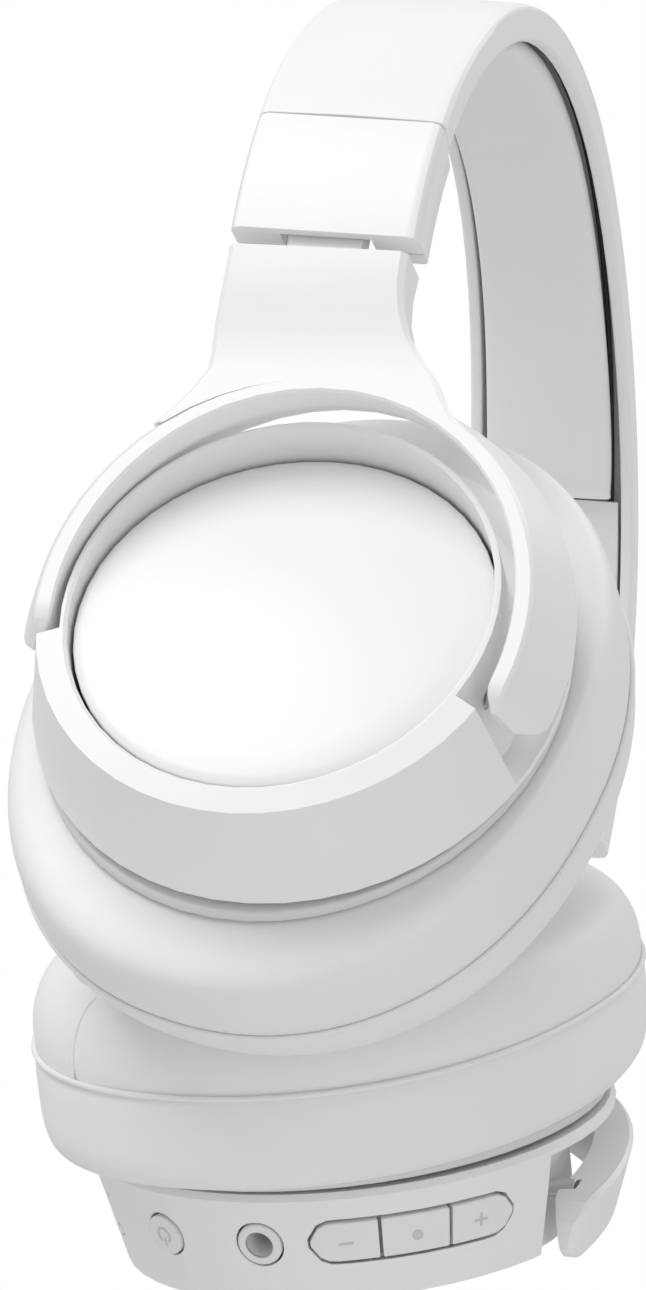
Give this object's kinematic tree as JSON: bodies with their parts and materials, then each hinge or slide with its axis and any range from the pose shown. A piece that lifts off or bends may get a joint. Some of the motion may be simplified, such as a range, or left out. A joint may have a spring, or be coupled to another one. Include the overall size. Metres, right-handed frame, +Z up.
{
  "type": "over ear headphones",
  "caption": "Closed-back folding over-ear headphones with padded band, sliding arms, swivelling yokes, cushioned ear cups and sprung edge controls.",
  "frame": {"origin": "middle of the underside of the crown pad, where the band rests on a head", "axes": "+X to the wearer's left ear cup, +Y to the rear, +Z up"},
  "size_m": [0.1643, 0.0836, 0.1858],
  "materials": {
    "white_plastic": "satin",
    "white_trim": "matte",
    "white_cap": "satin, domed",
    "leatherette": "soft protein leather over foam",
    "steel": "brushed",
    "cable": "matte",
    "inner_plastic": "matte",
    "film": "thin film",
    "scrim": "fine mesh",
    "circuit_board": "solder mask",
    "battery_foil": "foil pouch",
    "lens": "clear"
  },
  "bodies": {
    "headband": {"headband_shell": "white_plastic", "crown_pad": "leatherette", "band_spring": "steel", "band_cable": "cable", "arm_cover_left": "white_trim", "arm_cover_right": "white_trim"},
    "slider_left": {"end_shell_left": "white_plastic", "end_cover_left": "white_trim", "slider_rail_left": "white_trim", "hinge_pin_left": "steel"},
    "knuckle_left": {"knuckle_left": "white_plastic"},
    "yoke_left": {"yoke_left": "white_plastic", "pivot_pin_rear_left": "steel", "pivot_pin_front_left": "steel"},
    "cup_left": {"housing_left": "white_plastic", "cap_left": "white_cap", "baffle_left": "inner_plastic", "driver_frame_left": "inner_plastic", "driver_magnet_left": "steel", "diaphragm_left": "film", "scrim_left": "scrim", "cushion_ring_left": "inner_plastic", "cushion_left": "leatherette", "battery": "battery_foil"},
    "slider_right": {"end_shell_right": "white_plastic", "end_cover_right": "white_trim", "slider_rail_right": "white_trim", "hinge_pin_right": "steel"},
    "knuckle_right": {"knuckle_right": "white_plastic"},
    "yoke_right": {"yoke_right": "white_plastic", "pivot_pin_rear_right": "steel", "pivot_pin_front_right": "steel"},
    "cup_right": {"housing_right": "white_plastic", "cap_right": "white_cap", "baffle_right": "inner_plastic", "driver_frame_right": "inner_plastic", "driver_magnet_right": "steel", "diaphragm_right": "film", "scrim_right": "scrim", "cushion_ring_right": "inner_plastic", "cushion_right": "leatherette", "main_board": "circuit_board", "jack_socket": "white_trim", "usb_socket": "steel", "status_led": "lens", "microphone": "steel"},
    "volume_up": {"volume_up": "white_trim"},
    "multi_button": {"multi_button": "white_trim"},
    "volume_down": {"volume_down": "white_trim"},
    "power_button": {"power_button": "white_trim"}
  },
  "joints": [
    {"name": "slider_left_extend", "type": "slide", "parent": "headband", "child": "slider_left", "axis": [0.294, 0, 0.9558], "range_m": [-0.032, 0]},
    {"name": "cup_left_fold", "type": "hinge", "parent": "slider_left", "child": "knuckle_left", "pos_m": [0.0777, 0, -0.06967], "axis": [0, -1, 0], "range_deg": [-1.5, 1.9]},
    {"name": "yoke_left_swivel", "type": "hinge", "parent": "knuckle_left", "child": "yoke_left", "pos_m": [0.07541, 0, -0.08145], "axis": [-0.1908, 0, -0.9816], "range_deg": [-14, 10]},
    {"name": "cup_left_tilt", "type": "hinge", "parent": "yoke_left", "child": "cup_left", "pos_m": [0.05835, 0.00232, -0.12977], "axis": [-0.0118, -0.9926, 0.1211], "range_deg": [-4, 0.5]},
    {"name": "slider_right_extend", "type": "slide", "parent": "headband", "child": "slider_right", "axis": [0.294, 0, -0.9558], "range_m": [-0.03, 0.002]},
    {"name": "cup_right_fold", "type": "hinge", "parent": "slider_right", "child": "knuckle_right", "pos_m": [-0.06888, 0, -0.09835], "axis": [0, -1, 0], "range_deg": [-19.7, 3]},
    {"name": "yoke_right_swivel", "type": "hinge", "parent": "knuckle_right", "child": "yoke_right", "pos_m": [-0.0631, 0, -0.10886], "axis": [0.4818, 0, -0.8763], "range_deg": [-19.4, 4.6]},
    {"name": "cup_right_tilt", "type": "hinge", "parent": "yoke_right", "child": "cup_right", "pos_m": [-0.03184, 0.00106, -0.14952], "axis": [-0.1683, -0.9849, 0.0406], "range_deg": [-18.5, 0.5]},
    {"name": "volume_up_press", "type": "slide", "parent": "cup_right", "child": "volume_up", "axis": [-0.303, -0.7138, 0.6314], "range_m": [0, 0.0004], "stiffness_N_per_m": 1500},
    {"name": "multi_button_press", "type": "slide", "parent": "cup_right", "child": "multi_button", "axis": [-0.3856, -0.5004, 0.7752], "range_m": [0, 0.0004], "stiffness_N_per_m": 1500},
    {"name": "volume_down_press", "type": "slide", "parent": "cup_right", "child": "volume_down", "axis": [-0.4249, -0.2471, 0.8709], "range_m": [0, 0.0004], "stiffness_N_per_m": 1500},
    {"name": "power_button_press", "type": "slide", "parent": "cup_right", "child": "power_button", "axis": [-0.2787, 0.5062, 0.8162], "range_m": [0, 0.0004], "stiffness_N_per_m": 1500}
  ]
}
